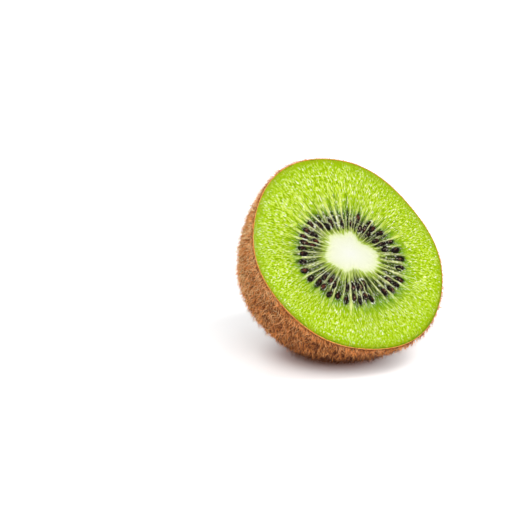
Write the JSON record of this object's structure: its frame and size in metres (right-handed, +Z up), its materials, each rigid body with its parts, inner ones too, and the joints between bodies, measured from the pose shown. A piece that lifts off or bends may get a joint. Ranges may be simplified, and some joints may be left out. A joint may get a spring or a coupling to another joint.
{
  "type": "half kiwi fruit",
  "caption": "Half a kiwi fruit cut crosswise, lying on its fuzzy brown skin, with a green cut face, a ring of dark seeds and a pale core.",
  "frame": {"origin": "on the ground, under the middle of the half fruit's box", "axes": "+Z up; the cut face looks towards -Y and up, and the blossom end is towards +Y, low down; +X is to the right of the cut face as seen from the front"},
  "size_m": [0.0498, 0.0466, 0.0489],
  "materials": {
    "skin": "thin brown fruit skin under dense short tan fuzz",
    "outer_flesh": "moist, translucent yellow-green fruit flesh with fine pale flecks",
    "seed_zone": "moist dark green pulp between thin pale walls, with glossy near-black seeds",
    "core": "moist cream-white core that turns greenish at its edge",
    "blossom_end": "dry, dark brown remains of the flower"
  },
  "bodies": {
    "root": {"skin": "skin", "outer_flesh": "outer_flesh", "seed_zone": "seed_zone", "core": "core", "blossom_end": "blossom_end"}
  },
  "joints": []
}
